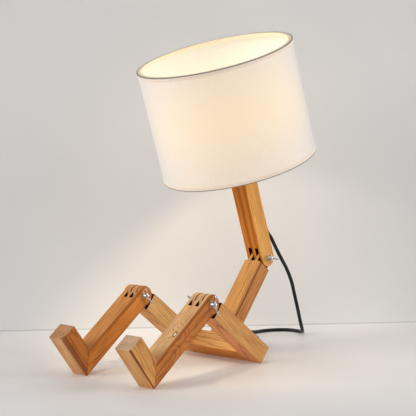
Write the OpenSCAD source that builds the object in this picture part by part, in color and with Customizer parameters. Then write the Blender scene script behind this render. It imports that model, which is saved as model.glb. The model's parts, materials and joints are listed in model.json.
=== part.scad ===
// Desk lamp shaped like a sitting figure: square wooden bars with knuckle joints at the knees
// and the neck, each clamped by a wing bolt and a wing nut, and a fabric drum shade for a head.
// Millimetres, +Z up. The figure faces -Y and its left side is +X. The origin is on the table,
// under the middle of the lamp without its cord.

/* [Bars] */
// Width of every bar, from side to side
bar_w = 28; // [26:1:30]
// Depth of every bar, from front to back
bar_d = 25; // [23:1:26]

/* [Legs and seat] */
// Distance between the middles of the two legs
leg_span = 128; // [124:1:136]
// Thigh, from its rear end to the knee axis
thigh_l = 133; // [128:1:138]
// Shin, from the heel corner to the knee axis
shin_l = 142; // [138:1:150]
// Foot, from the heel corner to the toe end
foot_l = 68; // [60:1:74]
// Slope of the thighs, down towards the rear
seat_tilt = 39; // [36:1:41]

/* [Torso and head post] */
// Torso, from the middle of the seat beam to the neck axis
torso_l = 146; // [140:1:152]
// Forward lean of the head post
head_tilt = 17; // [12:1:20]
// Head post, from the neck axis to its top end
post_l = 150; // [148:1:156]

/* [Knuckle joints] */
// Side clearance between a tongue and its slot, both sides together
knuckle_play = 1.2; // [0.4:0.1:1.4]
// Part of that clearance on the tongue's right, where the wing bolt's head pulls it close
right_play = 0.1; // [0.1:0.05:0.3]
// Radius of the rounded ends at the knees
knee_r = 13.7; // [12.5:0.1:14]
// Depth of the knees' slots, from the joint axis
knee_slot = 17; // [16:0.5:18]
// Distance from the knee axis to the shoulder beside the tongues
knee_shoulder = 15.5; // [14.5:0.5:17]
// Radius of the rounded ends at the neck
neck_r = 12.5; // [12:0.1:13]
// Depth of the neck's slots, from the joint axis
neck_slot = 19; // [17:0.5:20]
// Distance from the neck axis to the shoulder beside the tongues
neck_shoulder = 13.5; // [13.2:0.1:15]
// Diameter of the wing bolt's shank
bolt_d = 5; // [4:1:6]
// Radial clearance of the shank in the wood and the nut
bolt_play = 0.05; // [0.02:0.01:0.1]

/* [Shade] */
// Outer radius of the drum shade
shade_r = 110; // [105:1:115]
// Height of the drum shade
shade_h = 160; // [150:1:170]
// Distance from the neck axis to the shade's lower rim
shade_gap = 144; // [142:1:146]
// Thickness of the fabric
fabric_t = 0.8; // [0.6:0.1:1]
// Thickness of the stiff lining under the fabric
liner_t = 0.6; // [0.5:0.1:0.8]
// Height of the trim tape that covers each rim
trim_h = 5; // [4:0.5:7]
// Thickness of the trim tape
trim_t = 0.4; // [0.3:0.1:0.5]

/* [Lampholder and bulb] */
// Outer diameter of the lampholder's skirt
holder_d = 38.5; // [38:0.5:39]
// Diameter of the bulb's globe
globe_d = 45; // [44:1:47]
// Length of the bulb, contact included
bulb_l = 78; // [76:1:80]

/* [Cord] */
// Diameter of the cord
cord_d = 5.2; // [5:0.1:5.4]
// Height of the cord hole above the neck axis, on the back of the head post
exit_h = 52; // [48:1:58]
// Slope of the cord hole, down from a line square to the head post
exit_slope = 62; // [58:1:64]

/* [Hidden] */
$fn = 64;

// Colours of the real finishes
oak = "#c98a4b";
dowel_wood = "#d8b483";
zinc = "#c3c6c9";
linen = "#f4ead9";
black_pvc = "#1d1d1f";
white_plastic = "#ececea";
brass_metal = "#c7a45a";

// Knuckle joint: five leaves across the bar, three on one part and two on the other. The middles
// of each joint's two slots differ a little, as they are sawn by hand.
left_slots = [-6.8, 5.8];
right_slots = [-3, 8];
neck_slots = [-5.2, 7.2];
leaf = bar_w / 5;
tongue_w = leaf - knuckle_play / 2;
slot_w = leaf + knuckle_play / 2;
axle_r = bolt_d / 2;
hole_r = axle_r + bolt_play;

// Side view of the figure, as [y, z] before it is centred: the rear bottom edge is at [0, 0]
function turned(v, a) = [v[0] * cos(a) - v[1] * sin(a), v[0] * sin(a) + v[1] * cos(a)];
knee = turned([-thigh_l, bar_d / 2], -seat_tilt);
neck = turned([-bar_d / 2, bar_d / 2 + torso_l], -seat_tilt);
// The shin's slope puts the heel corner on the table
shin_tilt = asin(knee[1] / norm([shin_l, bar_d / 2])) - atan2(bar_d / 2, shin_l);
toe = knee + turned([-shin_l, foot_l - bar_d / 2], shin_tilt);
rim_back = neck + turned([shade_r + trim_t, shade_gap - trim_t], head_tilt);
y_mid = (toe[0] + rim_back[0]) / 2;

// Washer, wing nut and wing bolt
washer_r = 5;
washer_t = 1;
hub_r = 4.1;
hub_h = 6;
wing_t = 2;
wing_tip_r = 2.8;
wing_reach = 9;
wing_rise = 7.6;
bolt_past_nut = 1.5;
// Turn of the nuts' and the bolt heads' wings about their axis, from upright towards the rear
left_wings = -5;
right_wings = -31;
neck_wings = 104;
left_head_wings = -40;
right_head_wings = 24;
neck_head_wings = 43;

// Dowels
dowel_r = 4;
dowel_l = 30;
dowel_gap = 11;
heel_dowel_r = 3;
heel_dowel_l = 20;

// Shade layers, from the outside in
liner_r = shade_r - fabric_t;
lined_r = liner_r - liner_t;
wire_r = 1.5;
ring_r = lined_r - trim_t - wire_r;
rim_lo = shade_gap;
rim_hi = shade_gap + shade_h;
trim_in = ring_r - wire_r - 2 * trim_t;
bottom_ring_z = rim_lo + wire_r;

// Spider that carries the shade
hub_out = 28;
arm_in = 25;
arm_r = 1.2;
arm_turns = [30, 150, 270];

// Lampholder heights on the head post's axis
nipple_r = 5;
nipple_bore_r = 3.5;
nipple_depth = 14;
nipple_l = 21;
cap_h = 16;
cap_r = 20;
flange_z = post_l + cap_h;
flange_t = 3;
flange_r = 23;
hub_t = 2;
hub_z = flange_z + flange_t;
holder_r = holder_d / 2;
holder_wall = 2.6;
holder_top = flange_z + 35;
ring_nut_h = 8;
insert_z = flange_z + 1;
insert_h = 11;
contact_z = insert_z + insert_h;
bulb_z = contact_z + 3;
cap_screw_r = 13.2;
glass_t = 1;
globe_r = globe_d / 2;
globe_z = bulb_z + bulb_l - globe_r;

// Cord hole and strain relief, in the head post's own plane as [y, z]
exit_dir = [cos(exit_slope), -sin(exit_slope)];
exit_at = [bar_d / 2, exit_h];
relief_out = 24;
relief_in = 13;
relief_r = 4.4;
relief_tip_r = 3.3;
bend_z = exit_h + bar_d / 2 * tan(exit_slope);
bend_run = 3;
cord_r = cord_d / 2;
bore_r = cord_r + 0.4;
tip = exit_at + relief_out * exit_dir;
tip_row = neck + turned(tip, head_tilt) - [y_mid, 0];
tip_dir = turned(exit_dir, head_tilt);

// Cord coil, lying behind the seat
coil_at = [-28, 104];
coil_mid_r = 28.8;
coil_turns_wide = 3;
coil_turns_high = 3;
coil_out_r = coil_mid_r + coil_turns_wide * cord_r;
coil_in_r = coil_mid_r - coil_turns_wide * cord_r;
coil_h = coil_turns_high * cord_d;

// Switch in the cord, lying along Y
switch_at = [-78, 147];
switch_l = 62;
switch_w = 26;
switch_h = 18;
switch_split = 9;
switch_wall = 2;
rocker_l = 22;
rocker_w = 12;
rocker_play = 0.4;
rocker_tilt = 7;
rocker_pivot_z = 14;
rocker_pin_r = 1.5;
rocker_pin_l = 1.6;

// Plug with two round pins, lying along X; each pin has a thinner tang moulded into the body
plug_at = [0, 70.5];
plug_l = 34;
plug_w = 26;
plug_h = 14;
plug_neck_l = 12;
pin_r = 2;
pin_l = 19;
pin_gap = 19;
tang_r = 1.5;
tang_l = 9;

// Route of the cord, as [x, y, z]: the stretch to the switch, to the coil, and to the plug
drop_route = [
    [0, tip_row[0], tip_row[1]], [0, 157, 158], [0, 165, 146], [0, 173, 134],
    [0, 182, 121], [0, 190, 110], [0, 197, 98], [0, 203, 85], [0, 207, 72], [0, 211, 59],
    [0, 215, 46], [-1, 220, 32], [-3, 226, 19], [-8, 235, 9], [-17, 245, 4],
    [-29, 251, 2.6], [-43, 251, 2.6], [-56, 245, 2.6], [-66, 235, 2.6], [-73, 222, 2.6],
    [-77, 207, 2.6], [-78, 192, 4.5], [-78, 178, 7]
];
run_route = [
    [-78, 116, 7], [-78, 103, 5], [-74, 91, 2.6], [-65, 80, 2.6], [-53, 73, 2.6],
    [-40, 70.3, 2.6], [-28, 70, 2.6]
];
tail_route = [
    [-42.4, 73.2, 13], [-34, 69.8, 13.1], [-26, 67.8, 12.6], [-18, 66.9, 10.9], [-9, 68.3, 8.4],
    [0, 70.5, 7]
];

// ---------------------------------------------------------------------- placing and shaping

// The seat's plane: +Y runs down along the thighs, +Z square to them
module in_seat() {
    translate([0, -y_mid, 0]) rotate([-seat_tilt, 0, 0]) children();
}

// A lower leg's plane: the origin is on the knee axis, and -Y runs down along the shin
module in_shin(side) {
    translate([side * leg_span / 2, knee[0] - y_mid, knee[1]]) rotate([shin_tilt, 0, 0]) children();
}

// The head's plane: the origin is on the neck axis, and +Z runs up along the post
module in_head() {
    translate([0, neck[0] - y_mid, neck[1]]) rotate([head_tilt, 0, 0]) children();
}

// A flat outline drawn as [y, z], given its width along X
module across(width, x = 0) {
    translate([x - width / 2, 0, 0]) rotate([90, 0, 90]) linear_extrude(width) children();
}

// A round rod along X, centred on the origin
module cross_rod(r, length) {
    rotate([0, 90, 0]) cylinder(r = r, h = length, center = true);
}

function knee_slots(side) = side > 0 ? left_slots : right_slots;

// The two slots and the bolt hole of a bar that runs from its joint axis along -Y
module knuckle_slots(depth, slots) {
    for (x = slots)
        translate([x - slot_w / 2, -depth, -bar_d])
            cube([slot_w, depth + bar_d, 2 * bar_d]);
    cross_rod(hole_r, 2 * bar_w);
}

// The two tongues of a bar that runs from its joint axis along +Y
module knuckle_tongues(end_r, shoulder, slots) {
    difference() {
        for (x = slots)
            across(tongue_w, x - knuckle_play / 2 + right_play) {
                circle(r = end_r);
                translate([0, -bar_d / 2]) square([shoulder + 1, bar_d]);
            }
        cross_rod(hole_r, 2 * bar_w);
    }
}

// Two dowels side by side along X, centred on the origin and running along Z
module dowel_pair(r, length) {
    for (side = [-1, 1])
        translate([side * dowel_gap / 2, 0, -length / 2]) cylinder(r = r, h = length);
}

// --------------------------------------------------------------------------- seat and torso

// Both ends of the seat beam: pairs of dowels along X into the thighs
module beam_dowels() {
    for (side = [-1, 1])
        translate([side * (leg_span - bar_w) / 2, -bar_d / 2, bar_d / 2])
            rotate([0, 90, 0]) rotate([0, 0, 90]) dowel_pair(dowel_r, dowel_l);
}

// Where the torso stands on the seat beam
module torso_dowel_pair() {
    translate([0, -bar_d / 2, bar_d]) dowel_pair(dowel_r, dowel_l);
}

module seat_beam() {
    color(oak) in_seat() difference() {
        translate([-(leg_span - bar_w) / 2, -bar_d, 0]) cube([leg_span - bar_w, bar_d, bar_d]);
        beam_dowels();
        torso_dowel_pair();
    }
}

module thigh(side) {
    color(oak) in_seat() difference() {
        translate([side * leg_span / 2, 0, 0]) {
            translate([-bar_w / 2, knee_shoulder - thigh_l, 0])
                cube([bar_w, thigh_l - knee_shoulder, bar_d]);
            translate([0, -thigh_l, bar_d / 2])
                knuckle_tongues(knee_r, knee_shoulder, knee_slots(side));
        }
        beam_dowels();
    }
}

module left_thigh() { thigh(1); }
module right_thigh() { thigh(-1); }
module seat_dowels() { color(dowel_wood) in_seat() beam_dowels(); }

module torso() {
    torso_top = bar_d / 2 + torso_l;
    color(oak) in_seat() difference() {
        union() {
            translate([-bar_w / 2, -bar_d, bar_d])
                cube([bar_w, bar_d, torso_top - neck_shoulder - bar_d]);
            translate([0, -bar_d / 2, torso_top]) rotate([-90, 0, 0])
                knuckle_tongues(neck_r, neck_shoulder, neck_slots);
        }
        torso_dowel_pair();
    }
}

module torso_dowels() { color(dowel_wood) in_seat() torso_dowel_pair(); }

// ------------------------------------------------------------------------------- lower legs

// Dowels square to the mitre at the heel
module heel_dowel_pair() {
    translate([0, bar_d / 2 - shin_l, 0]) rotate([45, 0, 0]) dowel_pair(heel_dowel_r, heel_dowel_l);
}

module shin(side) {
    color(oak) in_shin(side) difference() {
        across(bar_w) {
            circle(r = knee_r);
            polygon([
                [-shin_l, -bar_d / 2], [0, -bar_d / 2], [0, bar_d / 2], [bar_d - shin_l, bar_d / 2]
            ]);
        }
        knuckle_slots(knee_slot, knee_slots(side));
        heel_dowel_pair();
    }
}

module foot(side) {
    color(oak) in_shin(side) difference() {
        across(bar_w) polygon([
            [-shin_l, -bar_d / 2], [bar_d - shin_l, bar_d / 2],
            [bar_d - shin_l, foot_l - bar_d / 2], [-shin_l, foot_l - bar_d / 2]
        ]);
        heel_dowel_pair();
    }
}

module left_shin() { shin(1); }
module right_shin() { shin(-1); }
module left_foot() { foot(1); }
module right_foot() { foot(-1); }
module left_heel_dowels() { color(dowel_wood) in_shin(1) heel_dowel_pair(); }
module right_heel_dowels() { color(dowel_wood) in_shin(-1) heel_dowel_pair(); }

// -------------------------------------------------------------------- wing bolts, nuts, washers

// The two wings, in the plane of the axis; they rise along +X from a hub on the origin
module wings() {
    rotate([90, 0, 0]) translate([0, 0, -wing_t / 2]) linear_extrude(wing_t)
        for (side = [-1, 1]) {
            translate([wing_rise, side * wing_reach]) circle(r = wing_tip_r);
            polygon([
                [1, 0], [1, side * hub_r], [wing_rise - 2.5, side * (wing_reach + 1)],
                [wing_rise + 1.5, side * (wing_reach - 2)], [hub_h - 0.5, side * hub_r], [hub_h - 0.5, 0]
            ]);
        }
}

module wing_hub() {
    rotate([0, 90, 0]) cylinder(r1 = hub_r + 0.6, r2 = hub_r - 0.4, h = hub_h);
    wings();
}

module wing_nut(turn) {
    color(zinc) translate([bar_w / 2 + washer_t, 0, 0]) rotate([-turn, 0, 0]) difference() {
        wing_hub();
        cross_rod(hole_r, 4 * hub_h);
    }
}

module wing_bolt(turn) {
    grip = bar_w / 2 + washer_t;
    color(zinc) {
        translate([-grip, 0, 0]) rotate([0, 90, 0])
            cylinder(r = axle_r, h = 2 * grip + hub_h + bolt_past_nut);
        translate([-grip, 0, 0]) rotate([-turn, 0, 0]) mirror([1, 0, 0]) wing_hub();
    }
}

module washer_pair() {
    color(zinc) for (side = [-1, 1])
        translate([side * (bar_w + washer_t) / 2, 0, 0]) difference() {
            cross_rod(washer_r, washer_t);
            cross_rod(hole_r, 2 * washer_t);
        }
}

module left_knee_bolt() { in_shin(1) wing_bolt(left_head_wings + shin_tilt); }
module left_knee_washers() { in_shin(1) washer_pair(); }
module left_knee_nut() { in_shin(1) wing_nut(left_wings + shin_tilt); }
module right_knee_bolt() { in_shin(-1) wing_bolt(right_head_wings + shin_tilt); }
module right_knee_washers() { in_shin(-1) washer_pair(); }
module right_knee_nut() { in_shin(-1) wing_nut(right_wings + shin_tilt); }
module neck_bolt() { in_head() wing_bolt(neck_head_wings + head_tilt); }
module neck_washers() { in_head() washer_pair(); }
module neck_nut() { in_head() wing_nut(neck_wings + head_tilt); }

// -------------------------------------------------------------------- head post and cord entry

// The oblique cord hole's axis: +Z runs out of the hole, from a point on the back of the post
module on_exit() {
    translate([0, exit_at[0], exit_at[1]]) rotate([-90 - exit_slope, 0, 0]) children();
}

// The cord's way through the post: up the oblique hole, then up the middle, with a pocket between
module lead_bore() {
    inside = bar_d / 2 / cos(exit_slope);
    on_exit() translate([0, 0, -inside]) cylinder(r = bore_r, h = inside + relief_out);
    translate([0, 0, bend_z]) sphere(r = bore_r + 0.8);
    translate([0, 0, bend_z]) cylinder(r = bore_r, h = post_l - bend_z + 1);
}

module head_post() {
    color(oak) in_head() difference() {
        union() {
            cross_rod(neck_r, bar_w);
            translate([-bar_w / 2, -bar_d / 2, 0]) cube([bar_w, bar_d, post_l]);
        }
        rotate([-90, 0, 0]) knuckle_slots(neck_slot, neck_slots);
        lead_bore();
        on_exit() translate([0, 0, -relief_in]) cylinder(r = relief_r, h = relief_in + relief_out);
        translate([0, 0, post_l - nipple_depth]) cylinder(r = nipple_r, h = nipple_depth + 1);
    }
}

module strain_relief() {
    color(black_pvc) in_head() on_exit() rotate_extrude() polygon([
        [cord_r, -relief_in], [relief_r, -relief_in], [relief_r, 6],
        [relief_tip_r, relief_out], [cord_r, relief_out]
    ]);
}

module inner_lead() {
    into_post = [-exit_dir[0], -exit_dir[1]];
    color(black_pvc) in_head() cord_tube(
        [
            [0, tip[0], tip[1]], [0, bend_run * exit_dir[0], bend_z + bend_run * exit_dir[1]],
            [0, 0, bend_z], [0, 0, bend_z + bend_run], [0, 0, post_l + cap_h / 2]
        ],
        [0, into_post[0], into_post[1]], [0, 0, 1]
    );
}

// -------------------------------------------------------------------------------- lampholder

// A ring round the head post's axis
module band(r_in, r_out, z, h) {
    translate([0, 0, z]) difference() {
        cylinder(r = r_out, h = h);
        translate([0, 0, -1]) cylinder(r = r_in, h = h + 2);
    }
}

module holder_nipple() {
    color(zinc) in_head() band(nipple_bore_r, nipple_r, post_l - nipple_depth, nipple_l);
}

module nipple_nut() {
    color(zinc) in_head() translate([0, 0, post_l + 3]) difference() {
        cylinder(r = 8, h = 3, $fn = 6);
        translate([0, 0, -1]) cylinder(r = nipple_r, h = 5);
    }
}

module holder_cap() {
    color(white_plastic) in_head() {
        band(nipple_r, cap_r, post_l, 3);
        band(cap_r - 2.5, cap_r, post_l, cap_h);
    }
}

module holder_shell() {
    color(white_plastic) in_head() {
        band(cap_r - 4, flange_r, flange_z, flange_t);
        band(holder_r - holder_wall, holder_r, flange_z, holder_top - flange_z);
    }
}

module holder_insert() {
    color(white_plastic) in_head() band(cord_r, cap_r - 4.1, insert_z, insert_h);
}

module screw_shell() {
    color(brass_metal) in_head() band(cap_screw_r + 0.4, cap_screw_r + 1, contact_z, 20);
}

module centre_contact() {
    color(brass_metal) in_head() translate([0, 0, contact_z]) cylinder(r = 4, h = bulb_z - contact_z);
}

// ------------------------------------------------------------------------------------- shade

// Round wire bent into a ring
module wire_ring(z) {
    translate([0, 0, z]) rotate_extrude() translate([ring_r, 0]) circle(r = wire_r);
}

// Hub washer that the lampholder's ring clamps, with three wire arms down to the bottom ring
module shade_spider() {
    arm_run = ring_r - arm_in;
    arm_rise = hub_z + arm_r / 2 - bottom_ring_z;
    color(zinc) in_head() {
        band(holder_r + 0.2, hub_out, hub_z, hub_t);
        difference() {
            for (turn = arm_turns)
                rotate([0, 0, turn]) translate([ring_r, 0, bottom_ring_z])
                    rotate([0, -90 + atan2(arm_rise, arm_run), 0])
                        cylinder(r = arm_r, h = norm([arm_run, arm_rise]));
            wire_ring(bottom_ring_z);
        }
    }
}

module bottom_ring() { color(zinc) in_head() wire_ring(bottom_ring_z); }

module shade_ring_nut() {
    color(white_plastic) in_head() band(holder_r + 0.1, 27, hub_z + hub_t, ring_nut_h);
}

module top_ring() { color(zinc) in_head() wire_ring(rim_hi - wire_r); }
module shade_liner() { color("white") in_head() band(lined_r, liner_r, rim_lo, shade_h); }
module shade_fabric() { color(linen) in_head() band(liner_r, shade_r, rim_lo, shade_h); }

// Tape folded over a rim that faces +Z: outside band, top, and inside band past the wire
module rim_tape() {
    rotate_extrude() polygon([
        [shade_r, -trim_h], [shade_r + trim_t, -trim_h], [shade_r + trim_t, trim_t],
        [trim_in, trim_t], [trim_in, -trim_h], [trim_in + trim_t, -trim_h],
        [trim_in + trim_t, 0], [shade_r, 0]
    ]);
}

module top_trim() { color(linen) in_head() translate([0, 0, rim_hi]) rim_tape(); }

module bottom_trim() {
    color(linen) in_head() difference() {
        translate([0, 0, rim_lo]) mirror([0, 0, 1]) rim_tape();
        for (turn = arm_turns)
            rotate([0, 0, turn]) translate([trim_in - 3, -arm_r - 0.5, rim_lo - 0.01])
                cube([5, 2 * arm_r + 1, trim_h + 1]);
    }
}

// -------------------------------------------------------------------------------------- bulb

// Half outline of the globe and its neck, for a wall whose outside stands in by inset
function globe_arc(inset) = [
    for (a = [-52:6:86]) [(globe_r - inset) * cos(a), globe_z + (globe_r - inset) * sin(a)]
];

module bulb_glass() {
    neck_z = bulb_z + 25;
    color("white") in_head() rotate_extrude() polygon(concat(
        [[cap_screw_r - 1.5, neck_z]], [[cap_screw_r - 0.2, neck_z]], globe_arc(0),
        [[0, globe_z + globe_r]], [[0, globe_z + globe_r - glass_t]],
        [for (i = [len(globe_arc(glass_t)) - 1:-1:0]) globe_arc(glass_t)[i]]
    ));
}

module bulb_cap() {
    color(zinc) in_head() translate([0, 0, bulb_z]) rotate_extrude() polygon([
        [4.2, 2], [7.5, 2.6], [cap_screw_r, 6], [cap_screw_r, 25], [cap_screw_r - 1.5, 25],
        [cap_screw_r - 1.5, 7], [6.5, 4], [4.2, 4]
    ]);
}

module bulb_contact() { color(zinc) in_head() translate([0, 0, bulb_z]) cylinder(r = 4.2, h = 2); }

// --------------------------------------------------------------------------- cord and fittings

function unit(v) = v / norm(v);

// Direction of the route at one of its points
function heading(p, i) = unit(p[min(i + 1, len(p) - 1)] - p[max(i - 1, 0)]);

// Directions square to the route, carried from point to point without a twist
function squares(ahead, before, i = 0) =
    i == len(ahead) ? [] :
    let (here = unit(before - (before * ahead[i]) * ahead[i]))
    concat([here], squares(ahead, here, i + 1));

// A tube swept along a route: a ring of flat sides at every point, closed at both ends
module cord_tube(route, first, last) {
    sides = 10;
    count = len(route);
    ahead = [for (i = [0:count - 1]) i == 0 ? first : i == count - 1 ? last : heading(route, i)];
    right = squares(ahead, cross(first, [0, 0, 1]));
    rings = [
        for (i = [0:count - 1], k = [0:sides - 1])
            let (a = 360 * k / sides, up = cross(right[i], ahead[i]))
            route[i] + cord_r * (cos(a) * right[i] + sin(a) * up)
    ];
    polyhedron(rings, concat(
        [[for (k = [sides - 1:-1:0]) k]],
        [[for (k = [0:sides - 1]) (count - 1) * sides + k]],
        [
            for (i = [0:count - 2], k = [0:sides - 1], half = [0, 1])
                let (a = i * sides + k, b = i * sides + (k + 1) % sides)
                half == 0 ? [a, b + sides, a + sides] : [a, b, b + sides]
        ]
    ));
}

module cord_drop() {
    color(black_pvc) cord_tube(drop_route, [0, tip_dir[0], tip_dir[1]], [0, -1, 0]);
}

module cord_run() { color(black_pvc) cord_tube(run_route, [0, -1, 0], [1, 0, 0]); }
module cord_tail() { color(black_pvc) cord_tube(tail_route, [0.906, -0.423, 0], [1, 0, 0]); }

module cord_coil() {
    bevel = cord_r / 2;
    color(black_pvc) translate([coil_at[0], coil_at[1], 0]) rotate_extrude() polygon([
        [coil_in_r + bevel, 0], [coil_out_r - bevel, 0], [coil_out_r, bevel],
        [coil_out_r, coil_h - bevel], [coil_out_r - bevel, coil_h], [coil_in_r + bevel, coil_h],
        [coil_in_r, coil_h - bevel], [coil_in_r, bevel]
    ]);
}

// Flat band round the coil's bundle, on the side away from the seat
module coil_tie() {
    tie_w = 6;
    tie_t = 0.8;
    bundle = coil_out_r - coil_in_r;
    color(black_pvc) translate([coil_at[0], coil_at[1] + coil_mid_r, 0]) difference() {
        translate([-tie_w / 2, -bundle / 2 - tie_t, 0]) cube([tie_w, bundle + 2 * tie_t, coil_h + tie_t]);
        translate([-tie_w, -bundle / 2, -1]) cube([2 * tie_w, bundle, coil_h + 1]);
    }
}

// --------------------------------------------------------------------------------- the switch

// Outline of the switch from above, with round ends, drawn in by inset
module switch_outline(inset) {
    end_r = switch_w / 2 - inset;
    for (side = [-1, 1]) translate([0, side * (switch_l - switch_w) / 2]) circle(r = end_r);
    square([2 * end_r, switch_l - switch_w], center = true);
}

// Room that the rocker needs inside the housing
module rocker_room() {
    translate([-rocker_w / 2 - rocker_play, -rocker_l / 2 - rocker_play, switch_split - 5])
        cube([rocker_w + 2 * rocker_play, rocker_l + 2 * rocker_play, switch_h]);
}

module at_switch() { translate([switch_at[0], switch_at[1], 0]) children(); }

module cord_entries() {
    translate([0, 0, 7]) rotate([90, 0, 0]) cylinder(r = cord_r, h = switch_l + 2, center = true);
}

module switch_base() {
    color(black_pvc) at_switch() difference() {
        linear_extrude(switch_split) switch_outline(0);
        translate([0, 0, switch_wall]) linear_extrude(switch_h) switch_outline(2 * switch_wall);
        cord_entries();
    }
}

module switch_cover() {
    color(black_pvc) at_switch() difference() {
        translate([0, 0, switch_split]) linear_extrude(switch_h - switch_split) switch_outline(0);
        rocker_room();
        cord_entries();
        translate([0, 0, rocker_pivot_z])
            cross_rod(rocker_pin_r + bolt_play, rocker_w + 2 * rocker_pin_l + 1);
    }
}

// The rocker: two flat faces that meet in a shallow valley over the pivot
module switch_rocker() {
    half = rocker_l / 2 - 0.7;
    rise = half * tan(rocker_tilt);
    color(black_pvc) at_switch() translate([0, 0, rocker_pivot_z]) rotate([-rocker_tilt, 0, 0]) {
        across(rocker_w) polygon([
            [-half, -3], [half, -3], [half, 3.2 + rise], [0, 3.2], [-half, 3.2 + rise]
        ]);
        cross_rod(rocker_pin_r, rocker_w + 2 * rocker_pin_l);
    }
}

// ---------------------------------------------------------------------------------- the plug

module plug_body() {
    waist = 15;
    shoulder_at = plug_neck_l + 8;
    color(black_pvc) translate([plug_at[0], plug_at[1], 0]) {
        difference() {
            linear_extrude(plug_h) polygon([
                [plug_neck_l, -waist / 2], [shoulder_at, -plug_w / 2], [plug_l, -plug_w / 2],
                [plug_l, plug_w / 2], [shoulder_at, plug_w / 2], [plug_neck_l, waist / 2]
            ]);
            at_pins() pin_tang();
        }
        translate([0, 0, plug_h / 2]) rotate([0, 90, 0])
            cylinder(r1 = cord_r + 0.8, r2 = 2 * cord_r, h = plug_neck_l + 1);
    }
}

// Both pins' places, with +Z out of the plug's face
module at_pins() {
    for (side = [-1, 1])
        translate([plug_l, side * pin_gap / 2, plug_h / 2]) rotate([0, 90, 0]) children();
}

module pin_tang() { translate([0, 0, -tang_l]) cylinder(r = tang_r, h = tang_l + 1); }

module plug_pins() {
    color(zinc) translate([plug_at[0], plug_at[1], 0]) at_pins() {
        cylinder(r = pin_r, h = pin_l);
        pin_tang();
    }
}

// ------------------------------------------------------------------------------- the assembly

seat_beam();
left_thigh();
right_thigh();
seat_dowels();
torso();
torso_dowels();
left_shin();
left_foot();
left_heel_dowels();
left_knee_bolt();
left_knee_washers();
left_knee_nut();
right_shin();
right_foot();
right_heel_dowels();
right_knee_bolt();
right_knee_washers();
right_knee_nut();
head_post();
neck_bolt();
neck_washers();
neck_nut();
strain_relief();
inner_lead();
holder_nipple();
nipple_nut();
holder_cap();
holder_shell();
holder_insert();
screw_shell();
centre_contact();
shade_spider();
bottom_ring();
shade_ring_nut();
top_ring();
shade_liner();
shade_fabric();
top_trim();
bottom_trim();
bulb_glass();
bulb_cap();
bulb_contact();
cord_drop();
switch_base();
switch_cover();
switch_rocker();
cord_run();
cord_coil();
coil_tie();
cord_tail();
plug_body();
plug_pins();
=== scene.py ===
"""Desk lamp shaped like a sitting figure: oak bars on wing bolts, a linen drum shade for a head,
and a black cord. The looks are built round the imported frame, in metres with +Z up. The figure
faces -Y and its left side is +X."""

import json
import math

import bmesh
import bpy
import numpy as np
from mathutils import Matrix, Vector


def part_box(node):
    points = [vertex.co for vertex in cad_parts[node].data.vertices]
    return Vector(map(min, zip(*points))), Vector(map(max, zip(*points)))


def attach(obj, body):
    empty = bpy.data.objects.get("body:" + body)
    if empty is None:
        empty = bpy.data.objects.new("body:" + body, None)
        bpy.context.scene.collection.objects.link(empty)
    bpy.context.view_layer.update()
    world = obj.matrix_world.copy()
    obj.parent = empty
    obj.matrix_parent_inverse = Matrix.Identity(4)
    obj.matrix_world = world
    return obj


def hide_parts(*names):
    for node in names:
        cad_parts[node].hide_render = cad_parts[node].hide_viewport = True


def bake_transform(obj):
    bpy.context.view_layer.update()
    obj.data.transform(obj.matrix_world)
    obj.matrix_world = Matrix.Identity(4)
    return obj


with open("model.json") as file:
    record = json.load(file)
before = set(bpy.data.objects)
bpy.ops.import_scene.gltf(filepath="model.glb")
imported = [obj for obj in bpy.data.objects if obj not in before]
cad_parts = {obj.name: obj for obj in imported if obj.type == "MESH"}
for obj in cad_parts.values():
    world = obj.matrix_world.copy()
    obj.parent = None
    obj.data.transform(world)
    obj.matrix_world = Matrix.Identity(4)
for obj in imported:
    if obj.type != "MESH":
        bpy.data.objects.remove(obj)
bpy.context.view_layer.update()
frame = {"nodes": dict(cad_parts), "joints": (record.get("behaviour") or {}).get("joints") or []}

# ------------------------------------------------------------------------------- the view
# A long lens on a stand 1.85 m away, 44 degrees round to the figure's left, looking 5 degrees
# down and held about a degree off level.
LENS, STAND = 115.34, (1.27246, -1.29521, 0.37311)
azimuth, looks_down, off_level = np.radians([43.906, 5.056, -1.247])
level = np.array([np.cos(azimuth), np.sin(azimuth), 0])
ahead = np.array([
    -np.sin(azimuth) * np.cos(looks_down), np.cos(azimuth) * np.cos(looks_down),
    -np.sin(looks_down),
])
upright = np.cross(level, ahead)
camera_x = level * np.cos(off_level) + upright * np.sin(off_level)
camera_y = upright * np.cos(off_level) - level * np.sin(off_level)

camera = bpy.data.objects.new("camera", bpy.data.cameras.new("camera"))
bpy.context.scene.collection.objects.link(camera)
camera.data.lens = LENS
placed = np.eye(4)
placed[:3] = np.stack([camera_x, camera_y, -ahead, STAND], axis=1)
camera.matrix_world = Matrix(placed.tolist())
bpy.context.scene.camera = camera

# ------------------------------------------------------------------------------- oak bars
# Every limb is a bar of oak, 28 by 25 mm, sawn and slotted, eased along its edges and oiled to
# a honey colour. The thighs, the beam between them and the torso are dowelled and glued.
joints = {joint["name"]: np.array(joint["pos_m"]) for joint in frame["joints"]}
EASING = 0.0004
# Half a bar's width and depth, and the place of a foot's end grain from its middle, in mm
HALF_X, HALF_Y, TOE = 14.0, 12.5, 29.7
# Slopes of the torso, the shins and the head's post, in degrees
SEAT, SHIN, HEAD = -39, 35.9125, 17


def linear(colour):
    """An sRGB hex value as linear RGBA: a twelve point ninth of it below 0.04045, and otherwise
    its 2.4th power after 0.055 is added and the sum is divided by 1.055."""
    value = np.array([int(colour[i:i + 2], 16) for i in (1, 3, 5)]) / 255
    value = np.where(value < 0.04045, value / 12.92, ((value + 0.055) / 1.055) ** 2.4)
    return (*value.tolist(), 1.0)


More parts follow.
